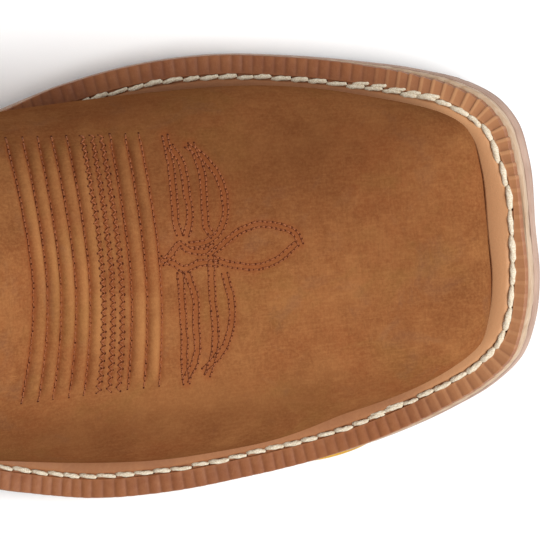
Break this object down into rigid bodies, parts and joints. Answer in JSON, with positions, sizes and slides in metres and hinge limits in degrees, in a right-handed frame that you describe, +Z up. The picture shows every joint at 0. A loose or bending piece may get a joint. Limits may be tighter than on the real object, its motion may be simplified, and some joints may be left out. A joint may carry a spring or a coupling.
{
  "type": "western work boot",
  "caption": "Right western work boot in tan leather: broad square toe, stitched ribbed welt, pull-on shaft and a stacked heel.",
  "frame": {"origin": "on the floor, in the flat underside of the heel", "axes": "+X from the heel to the toe, +Y to the inner side of the foot, +Z up the shaft"},
  "size_m": [0.3062, 0.1147, 0.3255],
  "materials": {
    "upper_leather": "waxed, distressed tan leather",
    "counter_leather": "waxed, distressed tan leather",
    "welt_leather": "smooth strip and ribbed edge",
    "midsole_leather": "pale, sanded edge",
    "sole_rubber": "matt pinkish brown",
    "heel_leather": "stacked, polished edge",
    "insole_leather": "soft, matt",
    "strap_leather": "waxed tan leather"
  },
  "bodies": {
    "root": {"upper": "upper_leather", "heel_counter": "counter_leather", "welt": "welt_leather", "midsole": "midsole_leather", "outsole": "sole_rubber", "heel_cap": "sole_rubber", "heel_stack": "heel_leather", "insole": "insole_leather", "pull_strap_lateral": "strap_leather", "pull_strap_medial": "strap_leather"}
  },
  "joints": []
}
